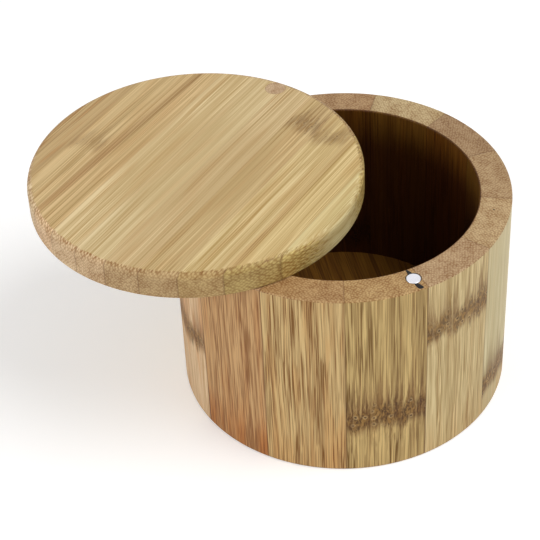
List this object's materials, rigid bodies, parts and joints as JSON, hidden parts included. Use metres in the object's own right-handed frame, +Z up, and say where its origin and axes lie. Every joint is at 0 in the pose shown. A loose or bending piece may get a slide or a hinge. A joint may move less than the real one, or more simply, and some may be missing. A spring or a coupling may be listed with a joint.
{
  "type": "salt box",
  "caption": "Round bamboo salt box with a thick stave wall and a flat disc lid that swivels sideways on a pin in the rim and is held shut by disc magnets.",
  "frame": {"origin": "centre of the box's underside, which it stands on", "axes": "+Z up along the box's axis, +Y from the rim magnet towards the lid's pivot pin"},
  "size_m": [0.1216, 0.1061, 0.0663],
  "materials": {
    "wall_bamboo": "sanded and oiled",
    "floor_bamboo": "sanded and oiled",
    "lid_bamboo": "sanded and oiled",
    "dowel_plug": "sanded and oiled",
    "pin_steel": "drawn",
    "magnet_plating": "nickel plated"
  },
  "bodies": {
    "box": {"wall_stave_01": "wall_bamboo", "wall_stave_02": "wall_bamboo", "wall_stave_03": "wall_bamboo", "wall_stave_04": "wall_bamboo", "wall_stave_05": "wall_bamboo", "wall_stave_06": "wall_bamboo", "wall_stave_07": "wall_bamboo", "wall_stave_08": "wall_bamboo", "wall_stave_09": "wall_bamboo", "wall_stave_10": "wall_bamboo", "wall_stave_11": "wall_bamboo", "wall_stave_12": "wall_bamboo", "wall_stave_13": "wall_bamboo", "floor_strip_01": "floor_bamboo", "floor_strip_02": "floor_bamboo", "floor_strip_03": "floor_bamboo", "floor_strip_04": "floor_bamboo", "floor_strip_05": "floor_bamboo", "floor_strip_06": "floor_bamboo", "floor_strip_07": "floor_bamboo", "floor_strip_08": "floor_bamboo", "floor_strip_09": "floor_bamboo", "rim_magnet": "magnet_plating", "pivot_pin": "pin_steel"},
    "lid": {"lid_strip_01": "lid_bamboo", "lid_strip_02": "lid_bamboo", "lid_strip_03": "lid_bamboo", "lid_strip_04": "lid_bamboo", "lid_strip_05": "lid_bamboo", "lid_strip_06": "lid_bamboo", "lid_strip_07": "lid_bamboo", "lid_strip_08": "lid_bamboo", "lid_strip_09": "lid_bamboo", "lid_strip_10": "lid_bamboo", "pivot_plug": "dowel_plug", "lid_magnet": "magnet_plating"}
  },
  "joints": [
    {"name": "lid_swivel", "type": "hinge", "parent": "box", "child": "lid", "pos_m": [0, 0.04, 0.0588], "axis": [0, 0, 1], "continuous": true}
  ]
}
